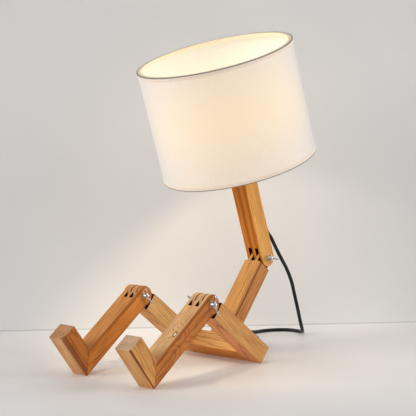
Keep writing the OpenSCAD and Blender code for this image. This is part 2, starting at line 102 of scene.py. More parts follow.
def feed(tree, node, inputs):
    """Sets a node's inputs. Each is a value, or a node or an output to link."""
    for key, value in inputs.items():
        if isinstance(value, bpy.types.Node):
            value = value.outputs[0]
        if isinstance(value, bpy.types.NodeSocket):
            tree.links.new(value, node.inputs[key])
        else:
            node.inputs[key].default_value = value


def add(tree, kind, inputs=None, stops=None, **settings):
    """A node with its settings and inputs; stops are a colour ramp's positions and hex
    colours."""
    made = tree.nodes.new("ShaderNode" + kind)
    for key, value in settings.items():
        setattr(made, key, value)
    feed(tree, made, inputs or {})
    if stops:
        ramp = made.color_ramp.elements
        while len(ramp) < len(stops):
            ramp.new(0.5)
        for element, (at, colour) in zip(ramp, stops):
            element.position, element.color = at, linear(colour)
    return made


def finish_of(name, **sockets):
    """A new material and the tree and Principled shader in it, with those sockets set."""
    material = bpy.data.materials.new(name)
    material.use_nodes = True
    shader = material.node_tree.nodes["Principled BSDF"]
    feed(material.node_tree, shader, {key.replace("_", " "): sockets[key] for key in sockets})
    return material, material.node_tree, shader


def middle(name):
    """The middle of a CAD node's box, in metres."""
    low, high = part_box(name)
    return (low + high) / 2


def oak(name, origin, turn, pith, broad_painted_light, narrow_painted_light, streaks=(), knot=None, slots=None, toe=None):
    """Flat-sawn oak under oil: open-grained growth rings about 3 mm apart round a pith that lies
    beside the bar, darker fibres along it and a satin surface. origin is the pattern's place in
    metres and turn the bar's slope about X, or None if it lies along X. broad and narrow are the
    (deep, pale) colours of the 28 mm faces and of the 25 mm ones, each face's tone set apart as
    painted light and shade for how it is lit. Each of streaks is a dark band along the bar, as its
    middle (x, y) on the section, its half width and its strength, in mm; knot is a knot's place (x,
    along); slots is the (end radius, half width, way to the tip, gaps) of a knuckle, whose sawn
    inside and the edges of whose gaps are darkened as painted shade; toe is the (deep, pale)
    colours of the end grain on a knuckle's tip or a foot."""
    material, tree, shader = finish_of(name, Specular_IOR_Level=0.25)
    place = add(tree, "TexCoord").outputs["Object"]
    way_up = Matrix.Rotation(math.radians(SEAT if turn is None else turn), 3, "X")
    if turn is None:
        way_up = way_up @ Matrix.Rotation(math.pi / 2, 3, "Y")
    bar = add(tree, "Mapping", {"Vector": place, "Location": tuple(origin),
                                "Rotation": tuple(way_up.to_euler()), "Scale": (0.001,) * 3},
              vector_type="TEXTURE")
    # Slow wander of the grain, about 60 mm long and 12 mm across
    along = add(tree, "VectorMath", {0: bar, 1: (1, 1, 0.14)}, operation="MULTIPLY")
    wander = add(tree, "TexNoise", {"Vector": along, "Scale": 0.055, "Detail": 2.0})
    wander = wander.outputs["Color"]
    for operation, by in [("SUBTRACT", (0.5,) * 3), ("MULTIPLY", (13, 13, 0))]:
        wander = add(tree, "VectorMath", {0: wander, 1: by}, operation=operation)
    grain = add(tree, "VectorMath", {0: bar, 1: wander}, operation="ADD")
    tilted = add(tree, "Mapping", {
        "Vector": grain, "Location": (-pith[0], -pith[1], 0), "Rotation": (0.05, 0.03, 0),
    })
    flat = add(tree, "VectorMath", {0: tilted, 1: (1, 1, 0)}, operation="MULTIPLY")
    radius = add(tree, "VectorMath", {0: flat}, operation="LENGTH").outputs["Value"]
    if knot:
        # The rings swell out round the knot by 11 mm, as a bell curve 10 mm wide
        off = bar
        for operation, by in [("SUBTRACT", (knot[0], -HALF_Y, knot[1])),
                              ("MULTIPLY", (1, 0.25, 0.6))]:
            off = add(tree, "VectorMath", {0: off, 1: by}, operation=operation)
        near = add(tree, "VectorMath", {0: off}, operation="LENGTH").outputs["Value"]
        fall = near
        for operation, by in [("DIVIDE", 10.0), ("POWER", 2.0), ("MULTIPLY", -1.0)]:
            fall = add(tree, "Math", {0: fall, 1: by}, operation=operation)
        fall = add(tree, "Math", {0: fall}, operation="EXPONENT")
        radius = add(tree, "Math", {0: fall, 1: 11.0, 2: radius}, operation="MULTIPLY_ADD")
    ring = add(tree, "Math", {0: radius, 1: 3.1}, operation="DIVIDE")
    ring = add(tree, "Math", {0: ring}, operation="FRACT")
    ring = add(tree, "MapRange", {"Value": ring, "From Min": 0.0, "From Max": 0.45},
               interpolation_type="SMOOTHSTEP")
    # Fibres about 1 mm wide and 30 mm long, as fine as can be seen
    strands = add(tree, "VectorMath", {0: bar, 1: (1, 1, 0.04)}, operation="MULTIPLY")
    strands = add(tree, "TexNoise", {"Vector": strands, "Scale": 0.8, "Detail": 4.0,
                                     "Roughness": 0.65})
    fibre = strands.outputs["Fac"]
    patches = add(tree, "TexNoise", {"Vector": along, "Scale": 0.09, "Detail": 1.0})
    tone = -0.9
    for share, weight in [(fibre, 1.5), (ring, 0.4), (patches.outputs["Fac"], 0.8)]:
        tone = add(tree, "Math", {0: share, 1: weight, 2: tone}, operation="MULTIPLY_ADD")
    colour, *others = [add(tree, "ValToRGB", {"Fac": tone}, list(zip((0.0, 0.8), tones)))
                       for tones in (broad_painted_light, narrow_painted_light, toe) if tones]
    point = add(tree, "SeparateXYZ", {0: bar})
    side = add(tree, "Math", {0: point.outputs["X"]}, operation="ABSOLUTE")
    edge = HALF_Y if turn is None else HALF_X
    edge = add(tree, "MapRange", {"Value": side, "From Min": edge - 0.7, "From Max": edge - 0.2})
    # What lies over the 28 mm faces' wood, as (share, colour), is gathered and mixed in at the end
    # The first is the 25 mm faces' own tone, lighter or darker as painted light and shade
    layers = [(edge, others[0])]
    if slots:
        # deep_in is the depth under the knuckle's round end, past the way beyond the bolt's line
        end, half, way, gaps = slots
        off = add(tree, "VectorMath", {0: bar, 1: (0, 1, 1)}, operation="MULTIPLY")
        off = add(tree, "VectorMath", {0: off}, operation="LENGTH").outputs["Value"]
        deep_in = add(tree, "Math", {0: end, 1: off}, operation="SUBTRACT")
        past = add(tree, "Math", {0: point.outputs["Z"], 1: way}, operation="MULTIPLY")
        tip = add(tree, "Math", {0: past, 1: -6.0}, operation="GREATER_THAN")
    if toe and slots:
        grown = add(tree, "MapRange", {"Value": deep_in, "From Min": 0.5, "From Max": 0.3})
        grown = add(tree, "Math", {0: grown, 1: tip}, operation="MULTIPLY")
    elif toe:
        grown = add(tree, "MapRange", {"Value": point.outputs["Z"], "From Min": TOE - 0.7,
                                       "From Max": TOE - 0.2})
    if toe:
        layers.append((grown, others[1]))
    drift = add(tree, "VectorMath", {0: wander, 1: (0.3, 0.3, 0), 2: bar},
                operation="MULTIPLY_ADD")
    drift = add(tree, "VectorMath", {0: drift, 1: (1, 1, 0)}, operation="MULTIPLY")
    for x, y, reach, strength in streaks:
        off = add(tree, "VectorMath", {0: drift, 1: (x, y, 0)}, operation="DISTANCE")
        band = add(tree, "MapRange", {"Value": off.outputs["Value"], "From Min": reach * 1.4,
                                      "From Max": reach * 0.6, "To Max": strength},
                   interpolation_type="SMOOTHSTEP")
        layers.append((band, linear("#74370f")))
    if knot:
        # A dark eye about 6 by 10 mm, with a pale spot about half its size in it
        for rim, core, tint in [(3.3, 2.5, "#4a2410"), (2.1, 1.4, "#f7f0e4")]:
            spot = add(tree, "MapRange", {"Value": near, "From Min": rim, "From Max": core})
            layers.append((spot, linear(tint)))
    if slots:
        # Depth under the surface of the rounded end and the bar: the larger of the end's radius
        # less the distance from the bolt's line, and, on the bar's side of the joint, of half
        # the bar's depth less the distance from its middle plane
        off = add(tree, "Math", {0: point.outputs["Y"]}, operation="ABSOLUTE")
        off = add(tree, "Math", {0: HALF_Y, 1: off}, operation="SUBTRACT")
        past = add(tree, "Math", {0: past, 1: 0.0}, operation="MAXIMUM")
        off = add(tree, "Math", {0: past, 1: -100.0, 2: off}, operation="MULTIPLY_ADD")
        deep_in = add(tree, "Math", {0: deep_in, 1: off}, operation="MAXIMUM")
        # Painted shade over the sawn inside, from 0.25 to 0.5 mm deep, within the sawn faces' half
        # width and 30 mm of the bolt's line
        painted_slot_shade = add(tree, "MapRange", {"Value": deep_in, "From Min": 0.25, "From Max": 0.5})
        side = add(tree, "Math", {0: side, 1: half}, operation="LESS_THAN")
        nigh = add(tree, "Math", {0: point.outputs["Z"]}, operation="ABSOLUTE")
        nigh = add(tree, "Math", {0: nigh, 1: 30.0}, operation="LESS_THAN")
        painted_slot_shade = add(tree, "Math", {0: painted_slot_shade, 1: side}, operation="MULTIPLY")
        painted_slot_shade = add(tree, "Math", {0: painted_slot_shade, 1: nigh}, operation="MULTIPLY")
        # Painted shade: the edges of each gap are darkened as far as 1 mm from its middle
        for gap in gaps:
            off = add(tree, "Math", {0: point.outputs["X"], 1: gap}, operation="SUBTRACT")
            off = add(tree, "Math", {0: off}, operation="ABSOLUTE")
            edges = add(tree, "MapRange", {"Value": off, "From Min": 1.1, "From Max": 0.9,
                                           "To Max": 0.85})
            edges = add(tree, "Math", {0: edges, 1: tip}, operation="MULTIPLY")
            painted_slot_shade = add(tree, "Math", {0: painted_slot_shade, 1: edges}, operation="MAXIMUM")
        layers.append((painted_slot_shade, linear("#35130a")))
    for share, over in layers:
        colour = add(tree, "Mix", {0: share, 6: colour, 7: over}, data_type="RGBA").outputs[2]
    rough = add(tree, "MapRange", {"Value": fibre, "To Min": 0.66, "To Max": 0.46})
    bump = add(tree, "Bump", {"Height": fibre, "Strength": 0.2, "Distance": 0.0004})
    feed(tree, shader, {"Base Color": colour, "Roughness": rough, "Normal": bump})
    return material


def eased(name, nodes, body, material, easing):
    """A copy of CAD nodes with its edges rounded off: doubled corners merged, flat faces joined,
    then a bevel of that size along every edge that turns by more than 30 degrees."""
    solid = bmesh.new()
    for node in nodes:
        solid.from_mesh(frame["nodes"][node].data)
    bmesh.ops.remove_doubles(solid, verts=solid.verts, dist=1e-6)
    bmesh.ops.dissolve_limit(solid, angle_limit=math.radians(0.3), verts=solid.verts,
                             edges=solid.edges)
    mesh = bpy.data.meshes.new(name)
    mesh.from_pydata([v.co[:] for v in solid.verts], [],
                     [[v.index for v in face.verts] for face in solid.faces])
    solid.free()
    return shown(name, mesh, body, material, nodes, easing)


def shown(name, mesh, body, material, nodes, easing=None):
    """Puts a finished mesh into the scene as a piece that stands for CAD nodes and, where a body is
    given, rides on it, with its material and, if it is eased, its bevel."""
    mesh.polygons.foreach_set("use_smooth", np.ones(len(mesh.polygons), bool))
    mesh.materials.append(material)
    piece = bpy.data.objects.new(name, mesh)
    bpy.context.scene.collection.objects.link(piece)
    if easing:
        bevel = piece.modifiers.new("easing", "BEVEL")
        bevel.width, bevel.segments, bevel.angle_limit = easing, 2, math.radians(30)
        bevel.harden_normals, bevel.use_clamp_overlap = True, False
    if body:
        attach(piece, body)
    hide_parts(*nodes)
    return piece


# Ends' radii, and half the width in which a tongued and a slotted end's sawn faces lie, in mm
KNEE_END, NECK_END, TONGUED, SLOTTED = 13.7, 12.5, 13.4, 12.4
# The gap beside each of a joint's two tongues lies 2.55 mm to the left of its slot's middle
LEFT_GAPS, RIGHT_GAPS, NECK_GAPS = np.array([(-6.8, 5.8), (-3.0, 8.0), (-5.2, 7.2)]) + 2.55
bars = [
    # CAD node, body, slope, pattern's place, pith,
    # 28 mm faces' (deep, pale), 25 mm faces' (deep, pale), marks; the two faces' tones differ as
    # painted light and shade
    ("seat_beam", "frame", None, middle("seat_beam"), (30, 42),
     ("#b26f31", "#f5ba72"), ("#a55a28", "#e29447"), {}),
    ("left_thigh", "frame", 90 + SEAT, joints["left_knee"], (4, 52),
     ("#ad6334", "#e79e62"), ("#a56833", "#dea35f"),
     {"slots": (KNEE_END, TONGUED, 1.0, LEFT_GAPS), "toe": ("#a47652", "#dcb186")}),
    ("right_thigh", "frame", 90 + SEAT, joints["right_knee"], (-8, 46),
     ("#ac6c35", "#e8ae69"), ("#a76f39", "#e3b373"),
     {"slots": (KNEE_END, TONGUED, 1.0, RIGHT_GAPS), "toe": ("#9a6c4a", "#d0a079")}),
    ("torso", "frame", SEAT, joints["neck"], (46, 40),
     ("#af6f33", "#eaad5f"), ("#995a26", "#d18e4c"),
     {"streaks": [(15, -7.5, 1.9, 0.85)], "slots": (NECK_END, TONGUED, 1.0, NECK_GAPS)}),
    ("left_shin", "left_lower_leg", SHIN - 90, joints["left_knee"], (44, 6),
     ("#ad6f42", "#edbe82"), ("#934616", "#cb7d33"),
     {"streaks": [(15, -9, 2.2, 0.6), (15, 1, 1.3, 0.5)], "knot": (8.4, -69.4),
      "slots": (KNEE_END, SLOTTED, 1.0, LEFT_GAPS)}),
    ("left_foot", "left_lower_leg", SHIN, middle("left_foot"), (40, -3),
     ("#9e602c", "#e2a96b"), ("#995822", "#da9d57"),
     {"streaks": [(15, -6.8, 2.4, 0.95)], "toe": ("#986a4a", "#dcb793")}),
    ("right_shin", "right_lower_leg", SHIN - 90, joints["right_knee"], (48, 8),
     ("#a15820", "#dd9952"), ("#9d4e12", "#d88a36"),
     {"streaks": [(15, -10, 2.6, 0.5)], "slots": (KNEE_END, SLOTTED, 1.0, RIGHT_GAPS)}),
    ("right_foot", "right_lower_leg", SHIN, middle("right_foot"), (36, 4),
     ("#995a2b", "#e7ae75"), ("#8a4612", "#c97a2e"),
     {"streaks": [(15, -5, 5.2, 0.7), (15, 3.5, 1.5, 0.6)], "toe": ("#87532a", "#ce976a")}),
    ("head_post", "head", HEAD, joints["neck"], (34, -44),
     ("#a7530a", "#dd861e"), ("#b4702c", "#efb05d"),
     {"streaks": [(-2, -14, 3.0, 0.5), (9, -14, 2.4, 0.45)],
      "slots": (NECK_END, SLOTTED, -1.0, NECK_GAPS)}),
]
for node, body, turn, origin, pith, broad_painted_light, narrow_painted_light, marks in bars:
    material = oak("oiled_oak_" + node, origin, turn, pith, broad_painted_light, narrow_painted_light, **marks)
    eased(node + "_bar", [node], body, material, EASING)

# ------------------------------------------------------------------------------- dowels
# Turned beech pins, hidden in the glued joints of the seat, the torso and the heels.


def mottled(name, scale, tints, detail=2.0, rough=None, dents=None, **sockets):
    """A finish whose colour drifts between two tints with a noise of that many patches to the
    metre. rough is its least and greatest roughness, and dents its bump's strength and depth."""
    material, tree, shader = finish_of(name, **sockets)
    place = add(tree, "TexCoord").outputs["Object"]
    patch = add(tree, "TexNoise", {"Vector": place, "Scale": scale, "Detail": detail})
    patch = patch.outputs["Fac"]
    made = {"Base Color": add(tree, "ValToRGB", {"Fac": patch}, tints)}
    if rough:
        made["Roughness"] = add(tree, "MapRange", {"Value": patch, "To Min": rough[0],
                                                   "To Max": rough[1]})
    if dents:
        made["Normal"] = add(tree, "Bump", {"Height": patch, "Strength": dents[0],
                                            "Distance": dents[1]})
    feed(tree, shader, made)
    return material, tree, shader


def coat(material, *nodes):
    """Gives CAD nodes that are shown as they are their material."""
    for node in nodes:
        mesh = frame["nodes"][node].data
        mesh.materials.clear()
        mesh.materials.append(material)


# Beech: short dark flecks about a millimetre long in pale wood, planed dull
dowel_beech = mottled("turned_beech_dowel", 900.0, [(0.35, "#c79a67"), (0.7, "#e0bd8c")],
                      detail=3.0, Roughness=0.6)[0]
coat(dowel_beech, "seat_dowels", "torso_dowels", "left_heel_dowels", "right_heel_dowels")

# ------------------------------------------------------------------------------- wing bolts
# Each knee and the neck is clamped by an M5 bolt with a cast wing head, a washer on either
# side and a cast wing nut, all barrel plated with bright nickel.
AXLE, WASHER_FACE, PAST_NUT = 0.0025, 0.015, 0.0075
# Nickel on cast zinc: bright, a little wavy and duller in patches about 2 mm across
plated = mottled("bright_nickel_plate", 420.0, [(0.3, "#b9bcc0"), (0.7, "#e2e4e6")], detail=3.0,
                 rough=(0.12, 0.34), dents=(0.25, 0.0003), Metallic=1.0, Roughness=0.2)[0]


def skin(name, *grids, laid=None):
    """One closed mesh from grids of points, rows by loop: quads join neighbours round each loop
    and from row to row, and a row that shrinks to a point becomes a pole. laid is each grid's
    (size round, place of each row along) in metres, for a UV map."""
    points, faces, layout, start = [], [], [], 0
    for number, grid in enumerate(grids):
        rows, around = grid.shape[:2]
        here = start + np.arange(rows * around).reshape(rows, around)
        beside = np.roll(here, -1, axis=1)
        faces.append(np.stack([here[:-1], beside[:-1], beside[1:], here[1:]], -1).reshape(-1, 4))
        points.append(grid.reshape(-1, 3))
        start += rows * around
        if laid:
            size, along = laid[number]
            left, low = np.meshgrid(np.arange(around) * size / around, along[:-1])
            high = np.broadcast_to(np.asarray(along)[1:, None], left.shape)
            right = left + size / around
            layout.append(np.stack([left, low, right, low, right, high, left, high], -1))
    mesh = bpy.data.meshes.new(name)
    mesh.from_pydata(np.concatenate(points), [], np.concatenate(faces))
    if laid:
        layer = mesh.uv_layers.new(name="cloth")
        layer.uv.foreach_set("vector", np.concatenate([u.ravel() for u in layout]))
    solid = bmesh.new()
    solid.from_mesh(mesh)
    bmesh.ops.remove_doubles(solid, verts=solid.verts, dist=1e-7)
    bmesh.ops.recalc_face_normals(solid, faces=solid.faces)
    solid.to_mesh(mesh)
    solid.free()
    return mesh


def fitted(name, body, material, slot, nodes, *grids, laid=None):
    """A piece skinned from grids, shown on a body in place of CAD nodes."""
    return shown(name, skin(name, *grids, laid=laid), body, material, nodes)


def round_z(radius, angle, height):
    """Points at a radius and an angle about Z and at a height: radius times the angle's cosine
    and sine."""
    return np.stack(np.broadcast_arrays(radius * np.cos(angle), radius * np.sin(angle), height),
                    -1)


def whole_turn(steps):
    """Angles of one turn, as a row."""
    return np.linspace(0, 2 * np.pi, steps, endpoint=False)[None]


def turned(profile, around=64):
    """A form turned on a lathe: each (radius, height) of the profile goes round Z."""
    radius, height = np.array(profile, float).T[:, :, None]
    return round_z(radius, whole_turn(around), height)


def onto_axle(grid, turn=0.0):
    """A form made along Z, laid along X and turned about it: Z becomes X, X becomes Z, and Z then
    leans towards the rear by turn."""
    x, y, z = np.moveaxis(grid, -1, 0)
    turn = np.radians(turn)
    return np.stack([z, -y * np.cos(turn) + x * np.sin(turn),
                     y * np.sin(turn) + x * np.cos(turn)], -1)


def wing(reach, rise):
    """A cast wing: an oval section carried along a curve from inside the hub out to a round tip.
    The curve goes out from a quarter of reach to reach as a quarter of a sine, and up from 0.3 of
    rise to rise. The oval's half width is 2 mm less 1.2 mm times the share of the way, plus 2.4 mm
    times its square, and its half thickness 1.4 mm less 0.3 mm times the share; both close as a
    quarter of a circle over the last third."""
    share = np.linspace(0, 1, 25)[:, None]
    angle = whole_turn(24)
    bow = np.sin(share * np.pi / 2)
    across, up = reach * (0.25 + 0.75 * bow), rise * (0.3 + 0.7 * share)
    round_off = np.sqrt(np.clip(1 - np.clip((share - 0.68) / 0.32, 0, 1) ** 2, 0, 1))
    wide = (0.0020 - 0.0012 * share + 0.0024 * share ** 2) * round_off
    thick = (0.0014 - 0.0003 * share) * round_off
    lean_across, lean_up = np.gradient(across[:, 0]), np.gradient(up[:, 0])
    length = np.hypot(lean_across, lean_up)
    lean_across, lean_up = (lean_across / length)[:, None], (lean_up / length)[:, None]
    x = across - lean_up * wide * np.cos(angle)
    z = up + lean_across * wide * np.cos(angle)
    return np.stack([x, thick * np.sin(angle) + 0 * share, z], -1)


def winged(bore):
    """A wing nut, or with no bore a wing bolt's head: a waisted hub with two wings that stand
    across from each other."""
    hub = [(bore, 0.0), (0.0041, 0.0), (0.0047, 0.0004), (0.0047, 0.0012), (0.0042, 0.0022),
           (0.0039, 0.0044), (0.0037, 0.0055), (0.0033, 0.0060), (bore, 0.0060)]
    hub = hub + hub[:1] if bore else hub
    one = wing(0.0110, 0.0096)
    return [turned(hub, 48), closed(one), closed(one * [-1, -1, 1])]


def closed(grid):
    """A grid with its first and last loops drawn in to their middles."""
    return np.concatenate([grid[:1].mean(1, keepdims=True).repeat(grid.shape[1], 1), grid,
                           grid[-1:].mean(1, keepdims=True).repeat(grid.shape[1], 1)])


def thread(start, end, pitch=0.0008, radius=AXLE, around=48):
    """A rod screwed along its length: the radius falls by a third of a millimetre between
    crests, as a triangle wave of the height's share of a pitch less the angle's share of a turn,
    and the end is chamfered."""
    height = np.linspace(start, end, int((end - start) / pitch * 8))[:, None]
    angle = whole_turn(around)
    crest = np.abs((height / pitch - angle / (2 * np.pi)) % 1 - 0.5) * 2
    depth = 0.00034 * crest + np.clip(0.0006 - (end - height), 0, 1)
    return closed(round_z(radius - depth, angle, height))


washer = [(0.00255, 0), (0.0049, 0), (0.005, 0.0001), (0.005, 0.0007), (0.0047, 0.001),
          (0.00255, 0.001), (0.00255, 0)]
clamps = [
    # name, turned body, nut's body, slopes of the nut's wings and of the bolt head's
    ("left_knee", "left_lower_leg", "left_wing_nut", -5, -40),
    ("right_knee", "right_lower_leg", "right_wing_nut", -31, 24),
    ("neck", "head", "neck_wing_nut", 104, 43),
]
for name, body, nut_body, nut_turn, head_turn in clamps:
    at = joints[name]
    nut = [onto_axle(grid, nut_turn) + [WASHER_FACE, 0, 0] + at for grid in winged(AXLE + 5e-5)]
    fitted(name + "_wing_nut", nut_body, plated, "zinc_hardware", [name + "_nut"], *nut)
    head = [onto_axle(grid, head_turn) * [-1, 1, 1] - [WASHER_FACE, 0, 0] + at
            for grid in winged(0)]
    rod = onto_axle(thread(-WASHER_FACE, WASHER_FACE + PAST_NUT)) + at
    fitted(name + "_wing_bolt", body, plated, "zinc_hardware", [name + "_bolt"], *head, rod)
    washers = [onto_axle(turned(washer)) * [way, 1, 1] + [way * 0.014, 0, 0] + at
               for way in (-1, 1)]
    fitted(name + "_washers_pair", body, plated, "zinc_hardware", [name + "_washers"], *washers)

# ------------------------------------------------------------------------------- cord entry
# The cord leaves the back of the post through an oblique hole, in a tapered black PVC sleeve
# moulded with grooves so that it can bend. Inside the post the cord goes on up to the holder.
NECK, EXIT_UP, EXIT_SLOPE = joints["neck"], 52, math.radians(62)
lean = math.radians(HEAD)


def on_head(grid):
    """Points in millimetres on the head, with Z up the post and Y to its back, brought to their
    place: turned about X by the post's lean and moved to the neck."""
    x, y, z = np.moveaxis(grid, -1, 0) / 1000
    return np.stack([x, y * np.cos(lean) - z * np.sin(lean),
                     y * np.sin(lean) + z * np.cos(lean)], -1) + NECK


# Drawn PVC: near black, with a soft skin that is duller where it has been wiped and rubbed
soft_pvc = mottled("extruded_black_pvc", 160.0, [(0.3, "#08080a"), (0.8, "#111114")], detail=3.0,
                   rough=(0.34, 0.55), dents=(0.1, 0.0002), Roughness=0.42,
                   Specular_IOR_Level=0.35)[0]

# Profile along the sleeve: five grooves 3.4 mm apart in the part outside the wood
sleeve = [(2.6, -8), (4.4, -8), (4.4, 4.5)]
for step in range(5):
    crest, z = 4.3 - 0.2 * step, 6 + 3.4 * step
    sleeve += [(crest, z), (crest - 0.05, z + 1.9), (crest - 0.75, z + 2.2), (crest - 0.8, z + 3.0)]
sleeve += [(3.3, 23.0), (3.1, 23.8), (2.62, 24), (2.6, -8)]
sleeve = turned(sleeve, 40)
out, side = np.array([0, math.cos(EXIT_SLOPE), -math.sin(EXIT_SLOPE)]), np.array([1.0, 0, 0])
sleeve = sleeve @ np.stack([side, np.cross(out, side), out]) + [0, HALF_Y, EXIT_UP]
fitted("cord_sleeve", "head", soft_pvc, "cord_pvc", ["strain_relief"], on_head(sleeve))
coat(soft_pvc, "inner_lead")

# ------------------------------------------------------------------------------- lampholder
# A standard threaded E27 holder in glossy white thermoset: a cap on a brass nipple, a skirt
# threaded outside for the shade's ribbed ring nut, a porcelain insert and a brass screw shell.
CAP_R, HOLDER_R, RING_R = 20.0, 19.25, 27.0
# Thermoset: a hard gloss with faint flow marks about 15 mm long
white_thermoset = mottled("moulded_white_thermoset", 60.0, [(0.3, "#ded9cf"), (0.7, "#efebe3")],
                          Roughness=0.28, Coat_Weight=0.3, Coat_Roughness=0.12)[0]
# Fired steatite without a glaze: dull, with a fine grit
porcelain = mottled("unglazed_steatite_porcelain", 1500.0, [(0.3, "#d8d0c2"), (0.7, "#ece6da")],
                    dents=(0.2, 0.0002), Roughness=0.7)[0]
# Drawn brass sheet: tarnished a shade darker and duller in patches
brass = mottled("pressed_brass", 250.0, [(0.3, "#b48a3c"), (0.7, "#dcb866")], detail=3.0,
                rough=(0.22, 0.42), Metallic=1.0, Roughness=0.3)[0]

# The cap: rounded shoulders, a shallow groove and a lip over the skirt, from 150 to 166 mm
holder_cap = turned([
    (5.2, 150), (14, 150), (17.5, 150.8), (CAP_R - 0.6, 153), (CAP_R, 156), (CAP_R, 160),
    (CAP_R - 0.6, 160.4), (CAP_R - 0.6, 161.6), (CAP_R, 162), (CAP_R, 165.6), (CAP_R - 0.4, 166),
    (17.2, 166), (17.2, 154), (15, 152.4), (5.2, 152.4), (5.2, 150)], 96)
fitted("holder_cap_moulding", "head", white_thermoset, "holder_plastic", ["holder_cap"],
       on_head(holder_cap))


def screwed(low, high, steps, crest, depth, pitch):
    """A rounded screw thread: the radius swings between the crest's and depth less, as the cosine
    of the height's share of a pitch, moved on by the angle."""
    rise, angle = np.linspace(low, high, steps)[:, None], whole_turn(96)
    swing = (1 + np.cos(2 * np.pi * rise / pitch - angle)) / 2
    return round_z(crest - depth * swing, angle, rise)


# The skirt's thread: 2.5 mm pitch, 0.45 mm deep, from 169 to 200 mm
screw = screwed(169, 200, 200, HOLDER_R, 0.45, 2.5)
below = turned([(16.65, 166), (22.4, 166), (23, 166.5), (23, 168.5), (22.6, 169),
                (19, 169)], 96)
above = turned([(19, 200.4), (18.6, 201), (17, 201), (16.65, 200.6), (16.65, 166)], 96)
skirt = np.concatenate([below, screw, above])
fitted("holder_skirt", "head", white_thermoset, "holder_plastic", ["holder_shell"],
       on_head(skirt))


def ribbed(profile, ribs, depth, around):
    """A turned form with ribs: where a row's third value is 1, its radius falls by depth times
    the sixth power of the half angle's sine, ribs times round."""
    radius, height, share = np.array(profile, float).T[:, :, None]
    angle = whole_turn(around)
    return round_z(radius - share * depth * np.sin(angle * ribs / 2) ** 6, angle, height)


# The ring nut: 36 gripping ribs 0.9 mm deep and a turned-in top
ring_nut = ribbed([(19.4, 171, 0), (25.6, 171, 0), (26.4, 171.5, 0), (RING_R, 172.4, 1),
                   (RING_R, 177.4, 1), (26.6, 178.4, 1), (25.8, 179, 0), (23, 179, 0),
                   (22.2, 178.2, 0), (21, 178.2, 0), (20.4, 179, 0), (19.8, 179, 0),
                   (19.4, 178.5, 0), (19.4, 171, 0)], 36, 0.9, 288)
fitted("shade_clamp_ring", "head", white_thermoset, "holder_plastic", ["shade_ring_nut"],
       on_head(ring_nut))
coat(porcelain, "holder_insert")
coat(brass, "screw_shell", "centre_contact")
coat(plated, "holder_nipple", "nipple_nut")

# ------------------------------------------------------------------------------- shade
# A drum 220 mm across and 160 mm high: a stiff translucent lining with plain-woven off-white
# linen laid on it, lapped and glued down one side, a wire ring and folded tape at either rim.
SHADE_R, RIM_LO, RIM_HI, LAP = 110.0, 144.0, 304.0, 12.0
BULB_Z, BULB_R = 236.5, 22.5


def lit_from_inside(tree, shader, colours, near=None, far=None):
    """Lamplight through cloth: the bulb's light on the drum's wall falls off with the height
    from the bulb as the inverse of one plus its square over that of 0.78 of the wall's radius, to
    the power 1.5. The emission's colour follows that, and so does its strength, from far to
    near, where they are given. Returns the place on the head, in mm, with Z up the post."""
    place = add(tree, "TexCoord").outputs["Object"]
    head = add(tree, "Mapping", {"Vector": place, "Location": tuple(NECK),
                                 "Rotation": (lean, 0, 0), "Scale": (0.001,) * 3},
               vector_type="TEXTURE")
    fall = add(tree, "SeparateXYZ", {0: head}).outputs["Z"]
    for operation, by in [("SUBTRACT", BULB_Z), ("DIVIDE", SHADE_R * 0.78), ("POWER", 2.0),
                          ("ADD", 1.0), ("POWER", -1.5)]:
        fall = add(tree, "Math", {0: fall, 1: by}, operation=operation)
    colour = add(tree, "ValToRGB", {"Fac": fall}, colours)
    feed(tree, shader, {"Emission Color": colour})
    if near:
        glow = add(tree, "MapRange", {"Value": fall, "From Min": 0.4, "From Max": 1.0,
                                      "To Min": far, "To Max": near})
        feed(tree, shader, {"Emission Strength": glow})
    return head


# Linen: dull and slightly uneven, with a bloom of loose fibres that catches light at a slant
linen, tree, shader = finish_of("plain_woven_linen", Roughness=0.9, Sheen_Weight=1.0,
                                Sheen_Roughness=0.65, Sheen_Tint=linear("#e2f0ff"))
lit_from_inside(tree, shader, [(0.4, "#ffd194"), (1.0, "#ffca70")], near=0.46, far=0.32)
# Threads 0.75 mm apart, as fine as can be drawn: a sine each way, thinned by slubs along them
cloth = add(tree, "UVMap", uv_map="cloth").outputs["UV"]
waves = add(tree, "VectorMath", {0: cloth, 1: (2 * math.pi / 0.00075,) * 3},
            operation="MULTIPLY")
waves = add(tree, "VectorMath", {0: waves}, operation="SINE")
waves = add(tree, "SeparateXYZ", {0: waves})
weave = add(tree, "Math", {0: waves.outputs["X"], 1: waves.outputs["Y"]}, operation="MULTIPLY")
slubs = 0.0
for stretch in [(900, 60, 1), (60, 900, 1)]:
    slub = add(tree, "VectorMath", {0: cloth, 1: stretch}, operation="MULTIPLY")
    slub = add(tree, "TexNoise", {"Vector": slub, "Scale": 1.0, "Detail": 2.0})
    slubs = add(tree, "Math", {0: slub.outputs["Fac"], 1: 0.5, 2: slubs},
                operation="MULTIPLY_ADD")
grain = add(tree, "Math", {0: weave, 1: 0.05, 2: slubs}, operation="MULTIPLY_ADD")
tint = add(tree, "ValToRGB", {"Fac": grain}, [(0.3, "#dedad2"), (0.68, "#eae7e0")])
bump = add(tree, "Bump", {"Height": grain, "Strength": 0.3, "Distance": 0.0003})
# The lap: two thicknesses of cloth pass less light, over a strip 12 mm wide
lap = add(tree, "SeparateXYZ", {0: cloth}).outputs["X"]
lap = add(tree, "MapRange", {"Value": lap, "From Min": LAP / 1000, "From Max": LAP / 1000 + 4e-4,
                             "To Min": 0.15, "To Max": 0.0})
tint = add(tree, "Mix", {0: lap.outputs[0], 6: tint, 7: linear("#d9cdbb")}, data_type="RGBA")
feed(tree, shader, {"Base Color": tint.outputs[2], "Normal": bump})


